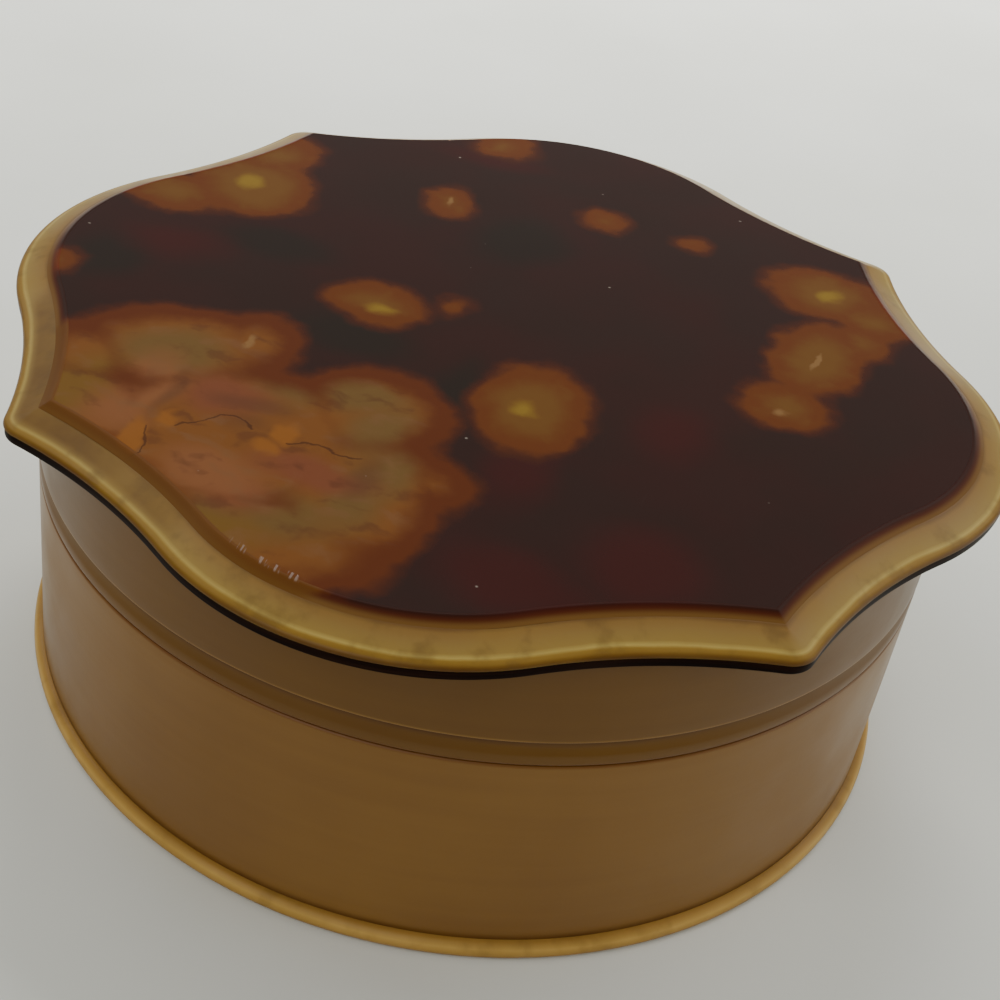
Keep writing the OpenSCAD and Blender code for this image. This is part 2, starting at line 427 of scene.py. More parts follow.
# %% Cracks and painted glints
CRACKS = (
    ((-21.5, -31.3), (-18.8, -28.4)), ((-18.8, -28.4), (-17.3, -27.5)),
    ((-17.3, -27.5), (-15.9, -27.5)), ((-15.9, -27.5), (-14.5, -29)), ((-11.1, -29.6), (-9.2, -29.1)),
    ((-9.2, -29.1), (-4.3, -28.8)), ((-23.4, -32.2), (-22.4, -36)), ((-22.4, -36), (-23.8, -37.4)),
)
ORANGE_GLINTS = (
    (-11.6, -28.4, 1.2, 1.7), (-12.4, -31.1, 1, 1), (-22.1, -30.3, 0.7, 1.5), (-24.3, -34.2, 1.4, 2.8),
)
OLIVE_BANDS = (
    (-26.4, -20.1, 5, 4), (-14.1, -19.8, 3.5, 4), (-8.8, -18.9, 5, 3.5), (-4.3, -23.9, 3, 4),
    (-1.3, -28.8, 2, 5), (-3.3, -34.6, 2.6, 5), (-8.1, -39.3, 5, 3), (-13.8, -41.1, 4, 2),
)
GOLDEN_EDGES = ((-33.1, -31.4, 3.6, 5), (-12.8, -43, 4, 2.4), (-30.9, -26.3, 3, 3))
PINK_LOBES = ((-26.7, -26.4, 3, 5.4), (-16, -36.2, 4.5, 3.2), (-27.1, -31.1, 3, 3))
ROSE_HEARTS = ((-7.7, -32.6, 5, 2.2), (-12.4, -37.9, 3, 2), (-19.3, -24.6, 4, 3))
BURNT_EDGES = ((-28.4, -35.4, 3.5, 1), (-23.3, -37.9, 3, 1.2), (-18.8, -40.5, 3, 1.2))
SMOKE = (
    (-16.4, -25.2, 3.5, 1.1), (-23.9, -26.4, 0.7, 3), (-15.7, -27.9, 1.6, 1), (-3.3, -31.2, 1, 3),
    (-15.1, -17.8, 1, 2),
)


def line_distance(finish, at, start, end):
    """Millimetres from the line between two points."""
    along = (end[0] - start[0], end[1] - start[1], 0)
    squared = along[0] ** 2 + along[1] ** 2
    offset = finish.vector("SUBTRACT", at, (*start, 0))
    share = finish.math("DIVIDE", finish.vector("DOT_PRODUCT", offset, along), squared)
    share = finish.math("MINIMUM", finish.math("MAXIMUM", share, 0.0), 1.0)
    nearest = finish.vector("SCALE", along, scale=share)
    return finish.vector("LENGTH", finish.vector("SUBTRACT", offset, nearest))


def crack_lines(finish, at):
    nearest = 1e3
    for start, end in CRACKS:
        nearest = finish.math("MINIMUM", nearest, line_distance(finish, at, start, end))
    return finish.fade(nearest, 0.17, 0.03)


print(f"{len(CRACKS)} crack lines, {len(ORANGE_GLINTS)} glints")

# %% [markdown]
# The veneer's colours
# --------------------
# The layers go on from the bottom up, as paint would: the dark field with red and green clouds,
# the drops with their rims and their hearts, with painted glints as bright orange spots by the large
# drop's cracks, and last the cracks, worn nicks painted white as their glint, and dust. The sheet is
# polished but old, so its gloss is a soft one. Its sloping edge was filed and not polished, so it
# has the same pattern with hardly any gloss, and it lightens from dark red to tan as it thins. A
# pattern by height can't follow that edge, because the edge is thin. So the mesh itself carries
# inward, which is how far each point lies inside the top of the slope.

# %% Veneer finish
DARK = paint(51, 23, 17)
GREEN_BLACK = paint(38, 27, 19)
MAROON = paint(63, 19, 14)
RIM = paint(70, 30, 12)
BURNT = paint(94, 42, 8)
ORANGE = paint(101, 50, 10)
GOLD = paint(108, 70, 23)
YELLOW = paint(138, 108, 34)
OLIVE = paint(108, 80, 39)
PINK = paint(132, 82, 48)
ROSE = paint(120, 66, 40)
AMBER = paint(121, 73, 28)
GLINT_ORANGE = paint(142, 86, 27)
GOLDEN = paint(114, 82, 29)
LIGHT_CURL = paint(120, 82, 50)
DARK_CURL = paint(88, 48, 24)
SMOKE_BROWN = paint(84, 52, 32)
BURNT_ORANGE = paint(112, 58, 16)
PALE = paint(140, 104, 62)
SPECK_WHITE = paint(190, 180, 168)
CRACK_BROWN = paint(68, 34, 12)
NICK_GLINT_WHITE = paint(170, 154, 144)
FILED_TINT = paint(255, 208, 165)
FILED_RED = paint(84, 36, 12)
FILED_TAN = paint(112, 78, 36)
FILED_AMBER = paint(102, 64, 18)
NICK_ROW_X = -6.6


def laid_over(finish, colour, drops, over, share, soft, melt=1.0, at=None):
    """Another colour over some drops, with an edge that fades over soft millimetres each way."""
    away = outside(finish, at, drops, melt)
    return finish.mix(finish.math("MULTIPLY", finish.fade(away, soft, -soft), share), colour, over)


def big_drop_layers(finish, soft, at, away):
    """The large drop's colours, from its rim to its heart."""
    layers = laid_over(finish, AMBER, OLIVE_BANDS, OLIVE, 0.95, 2.4, melt=2.0, at=soft)
    layers = laid_over(finish, layers, GOLDEN_EDGES, GOLDEN, 0.9, 2.2, at=soft)
    layers = laid_over(finish, layers, ROSE_HEARTS, ROSE, 0.95, 2.2, at=soft)
    layers = laid_over(finish, layers, PINK_LOBES, PINK, 0.9, 2.2, at=soft)
    curls = finish.noise(1.0, detail=3.0, stretch=(4.0, 2.6, 1.0), at=at)
    light = finish.math("MULTIPLY", finish.fade(curls, 0.52, 0.7), 0.5)
    layers = finish.mix(light, layers, LIGHT_CURL)
    dark = finish.math("MULTIPLY", finish.fade(curls, 0.46, 0.3), 0.5)
    layers = finish.mix(dark, layers, DARK_CURL)
    layers = laid_over(finish, layers, SMOKE, SMOKE_BROWN, 0.45, 1.7, at=soft)
    layers = finish.mix(finish.fade(away, -1.4, -4.8), BURNT, layers)
    layers = laid_over(finish, layers, BURNT_EDGES, BURNT_ORANGE, 0.9, 1.2, at=soft)
    # Painted glints: small bright orange spots by the cracks, standing for light caught in them.
    return laid_over(finish, layers, ORANGE_GLINTS, GLINT_ORANGE, 0.8, 0.6, melt=0.3, at=at)


def worn_nick_glints(finish, inward):
    """A row of fine chips along the edge at the front: wear, painted white as the glint of light on them."""
    split = finish.tree.nodes.new("ShaderNodeSeparateXYZ")
    finish.feed(split.inputs[0], finish.place)
    beside = finish.math("ABSOLUTE", finish.math("SUBTRACT", split.outputs["X"], NICK_ROW_X))
    here = finish.math("MULTIPLY", finish.fade(beside, 4.2, 2.6), finish.fade(split.outputs["Y"], -40, -42))
    strokes = finish.fade(finish.noise(1.0, detail=1.0, stretch=(0.25, 3.0, 3.0)), 0.52, 0.62)
    on_edge = finish.fade(finish.math("ABSOLUTE", finish.math("SUBTRACT", inward, 0.1)), 0.5, 0.2)
    return finish.math("MULTIPLY", finish.math("MULTIPLY", strokes, here), on_edge)


def mottled(name, filed, shine, gloss):
    """The veneer's pattern. The filed one is for its sloping edge, which lightens downwards."""
    finish = Finish(name)
    flat = finish.vector("MULTIPLY", finish.place, (1, 1, 0))
    soft = bent(finish, 2.0, 8.0, flat)
    at = bent(finish, 0.8, 2.2, soft)

    clouds = finish.fade(finish.noise(16.0, detail=2.0, at=flat), 0.35, 0.65)
    colour = finish.mix(finish.math("MULTIPLY_ADD", clouds, 0.4, 0.6), GREEN_BLACK, DARK)
    colour = laid_over(finish, colour, BLACK_CLOUDS, GREEN_BLACK, 0.9, 2.5, at=soft)
    colour = laid_over(finish, colour, RED_CLOUDS, MAROON, 0.8, 3.0, at=soft)

    small = outside(finish, at, SMALL_DROPS, 1.6)
    colour = finish.mix(finish.fade(small, 1.3, 0.0), colour, RIM)
    colour = finish.mix(finish.fade(small, 0.3, -0.9), colour, ORANGE)
    colour = finish.mix(finish.fade(small, -1.2, -4.5), colour, GOLD)
    mottle = finish.fade(finish.noise(2.6, detail=4.0, at=soft), 0.45, 0.75)
    inside = finish.fade(small, -0.5, -2.0)
    colour = finish.mix(finish.math("MULTIPLY", finish.math("MULTIPLY", mottle, inside), 0.5), colour, GOLD)
    colour = laid_over(finish, colour, YELLOW_HEARTS, YELLOW, 0.9, 0.9, at=at)

    big = outside(finish, at, BIG_DROP, 2.0)
    colour = finish.mix(finish.fade(big, 1.2, 0.0), colour, RIM)
    colour = finish.mix(finish.fade(big, 0.3, -0.8), colour, big_drop_layers(finish, soft, at, big))

    colour = laid_over(finish, colour, PALE_SPOTS, PALE, 0.7, 0.4, melt=0.1, at=at)
    colour = laid_over(finish, colour, WHITE_SPECKS, SPECK_WHITE, 0.45, 0.08, melt=0.01, at=flat)
    cracks = crack_lines(finish, at)
    colour = finish.mix(finish.math("MULTIPLY", cracks, 0.7), colour, CRACK_BROWN)
    colour, rough = handled(finish, colour, shine, dust=0.5, dulled=0.03)

    inward = finish.own("inward")
    if filed:
        colour = finish.mix(1.0, colour, FILED_TINT, blend="MULTIPLY")
        middle = finish.fade(inward, -0.2, -0.7)
        colour = finish.mix(finish.math("MULTIPLY", middle, 0.75), colour, FILED_RED)
        low = finish.fade(inward, -0.55, -1.1)
        colour = finish.mix(low, colour, FILED_TAN)
        over = finish.fade(big, 0.6, -1.2)
        colour = finish.mix(finish.math("MULTIPLY", over, 0.8), colour, FILED_AMBER)
    # The nicks are real wear, and their white is a painted glint of light.
    row = worn_nick_glints(finish, inward)
    colour = finish.mix(finish.math("MULTIPLY", row, 0.45), colour, NICK_GLINT_WHITE)
    finish.bump(row, -0.02)
    finish.bump(cracks, -0.003)
    finish.bump(finish.noise(0.35, detail=2.0), 0.001)
    return finish.set(colour, rough, Specular_IOR_Level=gloss)


VENEER = mottled("mottled_veneer", filed=False, shine=0.12, gloss=0.38)
VENEER_EDGE = mottled("mottled_edge", filed=True, shine=0.42, gloss=0.1)

# %% [markdown]
# The bevel's finish
# ------------------
# Light leaks down from the veneer into the clear plate, so the bevel is tan for most of its width
# and brown where a drop runs out to the edge. Its upper part follows the same drops for that. Where
# the bevel turns into the nose, a painted highlight line is the brightest of the whole lid, and the
# nose below it is painted darker as shade.

# %% Bevel finish
BROWN_EDGE = ((-40, -27, 7, 11), (-31, -38, 8, 7), (-22, -44, 5, 4))
# The brightest stop is a painted highlight line where the bevel turns into the nose, and the lowest stops
# paint the nose's lower part darker as shade. The darker stops by the veneer are dirt.
BEVEL = amber("amber_bevel",
              ((PLATE_Z / MM, paint(74, 44, 12)), (PLATE_Z / MM + 0.3, paint(112, 76, 20)),
               (PLATE_Z / MM + 0.56, paint(144, 110, 36)), (PLATE_Z / MM + 0.66, paint(180, 154, 80)),
               (PLATE_Z / MM + 0.8, paint(148, 120, 58)), (PLATE_Z / MM + 1.2, paint(140, 109, 55)),
               (VENEER_Z / MM - 0.14, paint(134, 100, 48)), (VENEER_Z / MM, paint(110, 76, 34))), smudge=0.45,
              drops=BROWN_EDGE)

# %% [markdown]
# Rosin
# -----
# Rosin is brittle tree resin, cast in a mould. It is dark amber and glassy where it has just
# broken, and dull with pale powder where a bow rubs it. The powder lies in worn patches, in fine
# strokes that all run one way, because a bow is drawn one way. Two noises give it, a wide one for
# the patches and one drawn out long for the strokes.

# %% Rosin finish
DEEP_ROSIN = paint(108, 58, 12)
CLEAR_ROSIN = paint(146, 88, 22)
SWIRL_GOLD = paint(168, 112, 36)
POWDER = paint(200, 168, 96)


def rosin():
    finish = Finish("amber_rosin")
    depth = finish.fade(finish.noise(12.0, detail=3.0), 0.3, 0.7)
    colour = finish.mix(depth, DEEP_ROSIN, CLEAR_ROSIN)
    swirl = finish.fade(finish.noise(4.0, detail=4.0, stretch=(1.0, 3.0, 1.0)), 0.55, 0.75)
    colour = finish.mix(finish.math("MULTIPLY", swirl, 0.4), colour, SWIRL_GOLD)
    up = finish.fade(finish.height, CAKE_TOP / MM - 1.6, CAKE_TOP / MM - 0.4)
    strokes = finish.noise(1.0, detail=4.0, stretch=(0.22, 30.0, 1.0))
    worn = finish.noise(14.0, detail=3.0)
    rubbed = finish.math("MULTIPLY_ADD", strokes, 0.4, finish.math("MULTIPLY", worn, 0.6))
    dusty = finish.math("MULTIPLY", up, finish.fade(rubbed, 0.44, 0.66))
    colour = finish.mix(finish.math("MULTIPLY", dusty, 0.5), colour, POWDER)
    rough = finish.vary(dusty, 0.14, 0.7)
    finish.bump(finish.noise(6.0, detail=4.0), 0.12)
    finish.bump(finish.math("MULTIPLY", strokes, up), 0.04)
    return finish.set(colour, rough, Coat_Weight=0.2, Coat_Roughness=0.1, Subsurface_Weight=0.2,
                      Subsurface_Radius=(1.0, 0.6, 0.2), Subsurface_Scale=1.5 * MM)


def rosin_dust():
    finish = Finish("rosin_dust")
    tone = finish.fade(finish.noise(1.2, detail=2.0), 0.35, 0.65)
    colour = finish.mix(tone, paint(214, 160, 92), paint(240, 222, 190))
    finish.bump(finish.noise(0.2, detail=2.0), 0.02)
    return finish.set(colour, finish.vary(tone, 0.35, 0.7), Subsurface_Weight=0.2,
                      Subsurface_Scale=0.5 * MM)


ROSIN = rosin()
DUST = rosin_dust()

# %% [markdown]
# Turned rings
# ------------
# The foot, the wall, the collar, the skirt and the cake are all turned: one profile taken round an
# axis. Such a rule suits Geometry Nodes. The tree gets the profile as a line of points, makes a flat
# grid with a column for each step of the turn, and sends each grid point to its place. Spin would do
# this too, but here the last step pushes the surface in and out a little, because a sheet bent by
# hand is never quite round, and the turn and the push are both inputs that can be changed later.

# %% Geometry Nodes tree for a turned ring
def tree_with(name, inputs):
    """A geometry tree with named inputs, each (name, kind, first value)."""
    tree = bpy.data.node_groups.new(name, "GeometryNodeTree")
    tree.is_modifier = True
    tree.interface.new_socket("Geometry", in_out="INPUT", socket_type="NodeSocketGeometry")
    for label, kind, value in inputs:
        socket = tree.interface.new_socket(label, in_out="INPUT", socket_type="NodeSocket" + kind)
        if value is not None:
            socket.default_value = value
    tree.interface.new_socket("Geometry", in_out="OUTPUT", socket_type="NodeSocketGeometry")
    return tree, tree.nodes.new("NodeGroupInput").outputs, tree.nodes.new("NodeGroupOutput").inputs


def step(tree, kind, values=None, **settings):
    """One node, with its settings, and its sockets joined or set."""
    made = tree.nodes.new(kind)
    for name, value in settings.items():
        setattr(made, name, value)
    for key, value in (values or {}).items():
        if isinstance(value, bpy.types.NodeSocket):
            tree.links.new(value, made.inputs[key])
        else:
            made.inputs[key].default_value = value
    return made.outputs


def sums(tree, operation, a, b=0.0):
    return step(tree, "ShaderNodeMath", {0: a, 1: b}, operation=operation)[0]


def turned_tree():
    inputs = (("Steps", "Int", 512), ("Push", "Float", 0.03 * MM), ("Push size", "Float", 18 * MM),
              ("Finish", "Material", None))
    tree, given, result = tree_with("turned_ring", inputs)
    count = step(tree, "GeometryNodeAttributeDomainSize", {0: given["Geometry"]})["Point Count"]
    columns = sums(tree, "ADD", given["Steps"], 1)
    sizes = {"Size X": 1.0, "Size Y": 1.0, "Vertices X": columns, "Vertices Y": count}
    grid = step(tree, "GeometryNodeMeshGrid", sizes)["Mesh"]
    place = step(tree, "GeometryNodeInputPosition")[0]
    on_grid = step(tree, "ShaderNodeSeparateXYZ", {0: place})
    turn = sums(tree, "MULTIPLY", sums(tree, "ADD", on_grid["X"], 0.5), math.tau)
    along = sums(tree, "MULTIPLY", sums(tree, "ADD", on_grid["Y"], 0.5), sums(tree, "SUBTRACT", count, 1))
    lookup = {"Geometry": given["Geometry"], "Value": place, "Index": sums(tree, "ROUND", along)}
    point = step(tree, "GeometryNodeSampleIndex", lookup, data_type="FLOAT_VECTOR")["Value"]
    profile = step(tree, "ShaderNodeSeparateXYZ", {0: point})
    x = sums(tree, "MULTIPLY", profile["X"], sums(tree, "COSINE", turn))
    y = sums(tree, "MULTIPLY", profile["X"], sums(tree, "SINE", turn))
    target = step(tree, "ShaderNodeCombineXYZ", {"X": x, "Y": y, "Z": profile["Z"]})[0]
    ring = step(tree, "GeometryNodeSetPosition", {"Geometry": grid, "Position": target})[0]
    ring = step(tree, "GeometryNodeMergeByDistance", {"Geometry": ring, "Distance": 0.002 * MM})[0]

    scale = sums(tree, "DIVIDE", 1.0, given["Push size"])
    wave = step(tree, "ShaderNodeTexNoise", {"Scale": scale, "Detail": 1.0})[0]
    both_ways = sums(tree, "MULTIPLY", given["Push"], 2.0)
    push = sums(tree, "MULTIPLY", sums(tree, "SUBTRACT", wave, 0.5), both_ways)
    flat = step(tree, "ShaderNodeVectorMath", {0: place, 1: (1, 1, 0)}, operation="MULTIPLY")[0]
    outward = step(tree, "ShaderNodeVectorMath", {0: flat}, operation="NORMALIZE")[0]
    offset = step(tree, "ShaderNodeVectorMath", {0: outward, "Scale": push}, operation="SCALE")[0]
    ring = step(tree, "GeometryNodeSetPosition", {"Geometry": ring, "Offset": offset})[0]
    ring = step(tree, "GeometryNodeRealizeInstances", {0: ring})[0]
    ring = step(tree, "GeometryNodeSetMaterial", {"Geometry": ring, "Material": given["Finish"]})[0]
    tree.links.new(ring, result["Geometry"])
    return tree


TURNED = turned_tree()
print("turned_ring:", len(TURNED.nodes), "nodes")

# %% [markdown]
# From a tree to a piece
# ----------------------
# A modifier's inputs are set by their identifiers, and before the object is first evaluated. The
# result is copied into a plain mesh and the modifier goes away with its carrier, so what rides on
# the box is an ordinary mesh.

# %% Run a tree
def link(piece):
    bpy.context.scene.collection.objects.link(piece)
    return piece


def grown(name, mesh, tree, **inputs):
    """The plain mesh that a tree makes from a mesh, as a new piece."""
    carrier = link(bpy.data.objects.new(name + "_carrier", mesh))
    modifier = carrier.modifiers.new("tree", "NODES")
    modifier.node_group = tree
    keys = {s.name: s.identifier for s in tree.interface.items_tree if s.in_out == "INPUT"}
    for label, value in inputs.items():
        modifier[keys[label.replace("_", " ")]] = value
    bpy.context.view_layer.update()
    evaluated = carrier.evaluated_get(bpy.context.evaluated_depsgraph_get())
    data = bpy.data.meshes.new_from_object(evaluated)
    data.name = name
    bpy.data.objects.remove(carrier)
    piece = link(bpy.data.objects.new(name, data))
    print(f"{name}: {len(data.polygons)} faces")
    return piece


def smooth(piece, sharp=40):
    piece.data.shade_smooth()
    piece.data.set_sharp_from_angle(angle=math.radians(sharp))
    return piece


# %% [markdown]
# Profiles with soft edges
# ------------------------
# No edge on a real part is perfectly sharp. A profile here is a list of corners, each with the
# length that its rounding takes up. The rounding is a short curve and long straight runs get points
# in between, so the push has something to move.

# %% Profile helper
def rounded_profile(corners, closed, longest=1.2 * MM, steps=4):
    """Points along a profile whose corners are (radius, height, rounding)."""
    points = []
    count = len(corners)
    for i, (r, z, cut) in enumerate(corners):
        here = Vector((r, 0, z))
        ends = not closed and i in (0, count - 1)
        if cut == 0 or ends:
            points.append(here)
            continue
        before = Vector((corners[i - 1][0], 0, corners[i - 1][1]))
        after = Vector((corners[(i + 1) % count][0], 0, corners[(i + 1) % count][1]))
        start = here + (before - here).normalized() * cut
        end = here + (after - here).normalized() * cut
        for s in range(steps + 1):
            t = s / steps
            points.append(start * (1 - t) ** 2 + here * 2 * t * (1 - t) + end * t**2)
    if closed:
        points.append(points[0].copy())
    spaced = [points[0]]
    for a, b in zip(points, points[1:]):
        parts = max(1, math.ceil((b - a).length / longest))
        spaced += [a.lerp(b, p / parts) for p in range(1, parts + 1)]
    mesh = bpy.data.meshes.new("profile")
    mesh.from_pydata(spaced, [(i, i + 1) for i in range(len(spaced) - 1)], [])
    return mesh


def arc_points(r, z, radius, start, end, steps):
    """Corners round an arc in the profile, from start to end degrees. 0 faces outwards."""
    angles = [math.radians(start + (end - start) * i / steps) for i in range(steps + 1)]
    return [(r + radius * math.cos(a), z + radius * math.sin(a), 0) for a in angles]


# %% [markdown]
# Foot and wall
# -------------
# The foot is a disc of amber sheet with a fully rounded edge, which stands out as a bead under the
# wall. The wall is a plain tube whose top edge is eased where the lid meets it.

# %% Turn the foot and the wall
BEAD = FLOOR_Z / 2
EASE = 0.3 * MM
foot_corners = [(0, 0, 0)] + arc_points(FOOT_R - BEAD, BEAD, BEAD, -90, 90, 14) + [(0, FLOOR_Z, 0)]
foot_profile = rounded_profile(foot_corners, False, longest=3 * MM)
foot = grown("foot", foot_profile, TURNED, Push=0.02 * MM, Finish=FOOT)

BORE_R = COLLAR_R
wall_corners = [(BORE_R, FLOOR_Z, 0), (WALL_R, FLOOR_Z, 0), (WALL_R, SEAM_Z, EASE),
                (BORE_R, SEAM_Z, 0.1 * MM)]
wall = grown("wall", rounded_profile(wall_corners, True), TURNED, Push=0.04 * MM, Finish=WALL)

# %% [markdown]
# Collar
# ------
# The collar is a thin tube glued inside the wall. It stands up past the seam, and the lid's skirt
# slides over it, so its outer top edge is eased more than the inner one.

# %% Turn the collar
collar_in = COLLAR_R - COLLAR_T
collar_corners = [(collar_in, FLOOR_Z, 0), (COLLAR_R, FLOOR_Z, 0), (COLLAR_R, COLLAR_TOP, 0.7 * MM),
                  (collar_in, COLLAR_TOP, 0.3 * MM)]
collar = grown("collar", rounded_profile(collar_corners, True), TURNED, Push=0.0, Finish=COLLAR)

# %% [markdown]
# Skirt
# -----
# The skirt is the lid's rim. Just above the seam it draws in under a small step, and that hollow
# band is what a fingernail catches to lift the lid. The step's own edge is nearly sharp, so it
# shows as a fine bright line, and its finish adds a painted highlight along that edge and painted
# shade in the band under it.

# %% Turn the skirt
NICK = 0.15 * MM
BAND_STEPS = 8
flare_z = SKIRT_Z + (BAND_Z - SKIRT_Z) * 0.38
band = []
for i in range(BAND_STEPS + 1):
    t = i / BAND_STEPS
    band.append((WALL_R - BAND_STEP * math.sin(math.radians(90 * t)), flare_z + (BAND_Z - flare_z) * t, 0))
skirt_in = COLLAR_R + SKIRT_FIT
skirt_corners = [(skirt_in, SKIRT_Z, 0.2 * MM), (WALL_R, SKIRT_Z, EASE)] + band
skirt_corners += [(WALL_R, BAND_Z, NICK), (WALL_R, BACKING_Z, 0), (skirt_in, BACKING_Z, 0)]
skirt = grown("skirt", rounded_profile(skirt_corners, True), TURNED, Push=0.03 * MM, Finish=SKIRT)

# %% [markdown]
# Rosin cake
# ----------
# The cake was poured warm, so its edge is round and its top sank a little as it cooled. Bowing has
# worn the dish deeper in the middle.

# %% Turn the cake
CAKE_ROUND = 2 * MM
CAKE_DISH = 0.6 * MM
rim_r = CAKE_R - CAKE_ROUND
cake_corners = [(0, FLOOR_Z, 0), (CAKE_R - 0.3 * MM, FLOOR_Z, 0), (CAKE_R, FLOOR_Z + 0.3 * MM, 0)]
cake_corners += arc_points(rim_r, CAKE_TOP - CAKE_ROUND, CAKE_ROUND, 0, 90, 12)
DISH_STEPS = 12
for i in range(1, DISH_STEPS + 1):
    t = i / DISH_STEPS
    sink = CAKE_DISH * (1 - math.cos(math.pi * min(2 * t, 1))) / 2
    cake_corners.append((rim_r * (1 - t), CAKE_TOP - sink, 0))
cake = grown("cake", rounded_profile(cake_corners, False, longest=2 * MM), TURNED, Push=0.12 * MM,
             Push_size=9 * MM, Finish=ROSIN)

# %% [markdown]
# Crumbs of rosin
# ---------------
# Rosin sheds dust and crumbs, and a closed box keeps them. They are scattered on the cake and on
# the floor round it. Placing them by hand would take an afternoon. The tree scatters points on what
# faces up, puts one rough grain on each and turns and sizes it at random, with a fixed seed.

# %% Scatter tree
def scatter_tree():
    inputs = (("Spread", "Float", 60000.0), ("Seed", "Int", 4), ("Smallest", "Float", 0.08 * MM),
              ("Largest", "Float", 0.32 * MM), ("Finish", "Material", None))
    tree, given, result = tree_with("rosin_crumbs", inputs)
    facing = step(tree, "ShaderNodeSeparateXYZ", {0: step(tree, "GeometryNodeInputNormal")[0]})["Z"]
    upward = sums(tree, "GREATER_THAN", facing, 0.9)
    spots = {"Mesh": given["Geometry"], "Selection": upward}
    spots.update({"Density": given["Spread"], "Seed": given["Seed"]})
    points = step(tree, "GeometryNodeDistributePointsOnFaces", spots)["Points"]
    grain = step(tree, "GeometryNodeMeshIcoSphere", {"Radius": 1.0, "Subdivisions": 2})["Mesh"]
    rough = step(tree, "ShaderNodeTexNoise", {"Scale": 1.1, "Detail": 1.0})["Color"]
    dent = step(tree, "ShaderNodeVectorMath", {0: rough, 1: (0.5, 0.5, 0.5)}, operation="SUBTRACT")[0]
    grain = step(tree, "GeometryNodeSetPosition", {"Geometry": grain, "Offset": dent})[0]
    full_turn = {"Max": (math.tau,) * 3, "Seed": 1}
    spin = step(tree, "FunctionNodeRandomValue", full_turn, data_type="FLOAT_VECTOR")[0]
    size = step(tree, "FunctionNodeRandomValue", {"Seed": 2}, data_type="FLOAT")
    size_node = size[1].node
    for key, value in ((2, given["Smallest"]), (3, given["Largest"])):
        tree.links.new(value, size_node.inputs[key])
    laid = {"Points": points, "Instance": grain, "Rotation": spin, "Scale": size[1]}
    crumbs = step(tree, "GeometryNodeInstanceOnPoints", laid)[0]
    crumbs = step(tree, "GeometryNodeRealizeInstances", {0: crumbs})[0]
    crumbs = step(tree, "GeometryNodeSetMaterial", {"Geometry": crumbs, "Material": given["Finish"]})[0]
    tree.links.new(crumbs, result["Geometry"])
    return tree


def ring_area(inner, outer, z, steps=48):
    """A flat ring that crumbs can fall on."""
    mesh = bpy.data.meshes.new("catch")
    turns = [math.tau * i / steps for i in range(steps)]
    points = [(r * math.cos(a), r * math.sin(a), z) for r in (inner, outer) for a in turns]
    faces = [(i, steps + i, steps + (i + 1) % steps, (i + 1) % steps) for i in range(steps)]
    mesh.from_pydata(points, [], faces)
    return mesh


SCATTER = scatter_tree()
on_floor = grown("crumbs_on_floor", ring_area(CAKE_R + MM, collar_in - MM, FLOOR_Z), SCATTER,
                 Spread=260000.0, Finish=DUST)
on_cake = grown("crumbs_on_cake", cake.data, SCATTER, Spread=30000.0, Seed=9, Largest=0.25 * MM, Finish=DUST)

# %% [markdown]
# The lid's outline
# -----------------
# The lid has four rounded lobes and four pointed corners. Each eighth of it is three arcs that meet
# smoothly: a small one at the corner, a hollow one at the waist and a large one round the lobe. When
# the edge is bevelled, the arcs keep their centres and only their radii change, so the bevel is as
# wide all round. A spline drawn through points by hand couldn't promise that.

# %% Outline by arcs
LOBE_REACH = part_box("lid_plate")[1].x
LOBE_ARC = 27 * MM
CORNER_REACH = 51.3 * MM
WAIST_ARC = 54 * MM
CORNER_ROUND = 3 * MM
SHARPEST = 0.25 * MM
ARC_STEPS = (8, 22, 24)


def polar(radius, angle):
    return Vector((radius * math.cos(angle), radius * math.sin(angle)))


def heading(start, end):
    return math.atan2(end.y - start.y, end.x - start.x)


def arc(centre, radius, start, end, steps):
    return [centre + polar(radius, start + (end - start) * i / steps) for i in range(steps)]


def waist_centre(lobe):
    corner = Vector((CORNER_REACH, 0))
    across = (lobe - corner).length
    far = LOBE_ARC + WAIST_ARC
    turn = math.acos((WAIST_ARC**2 + across**2 - far**2) / (2 * WAIST_ARC * across))
    return corner + polar(WAIST_ARC, heading(corner, lobe) - turn)


def eighth(inset):
    """From a corner on +X to the crown of a lobe at 45 degrees, moved in by inset."""
    lobe = polar(LOBE_REACH - LOBE_ARC, math.pi / 4)
    waist = waist_centre(lobe)
    tip_r = max(CORNER_ROUND - inset, SHARPEST)
    tip = Vector((waist.x - math.sqrt((WAIST_ARC + inset + tip_r) ** 2 - waist.y**2), 0))
    points = arc(tip, tip_r, 0, heading(tip, waist), ARC_STEPS[0])
    points += arc(waist, WAIST_ARC + inset, heading(waist, tip), heading(waist, lobe), ARC_STEPS[1])
    points += arc(lobe, LOBE_ARC - inset, heading(lobe, waist), math.pi / 4, ARC_STEPS[2])
    return points + [lobe + polar(LOBE_ARC - inset, math.pi / 4)]


def outline(inset):
    half = eighth(inset)
    quarter = [Vector((p.x, -p.y)) for p in half[:0:-1]] + half[:-1]
    turns = [Matrix.Rotation(math.radians(45 + 90 * q), 2) for q in range(4)]
    return [turn @ p for turn in turns for p in quarter]


print(f"outline: {len(outline(0))} points, {2 * max(p.x for p in outline(0)) / MM:.1f} mm across")

# %% [markdown]
# Sheets cut to the outline
# -------------------------
# Each layer of the lid is a closed skin through rings of that outline, each with its own inset and
# height. The flat faces are rings too, which shrink to a point in the middle. Then light runs evenly
# over them, and they can be pushed out of true a little. A hand-filed bevel is never quite even,
# so low noise lifts and lowers it by less than a tenth of a millimetre. Each point also gets its
# inward number here, for the veneer's finish.

# %% Skin the rings
SHRINK = [1 - 0.04 * i for i in range(1, 25)]


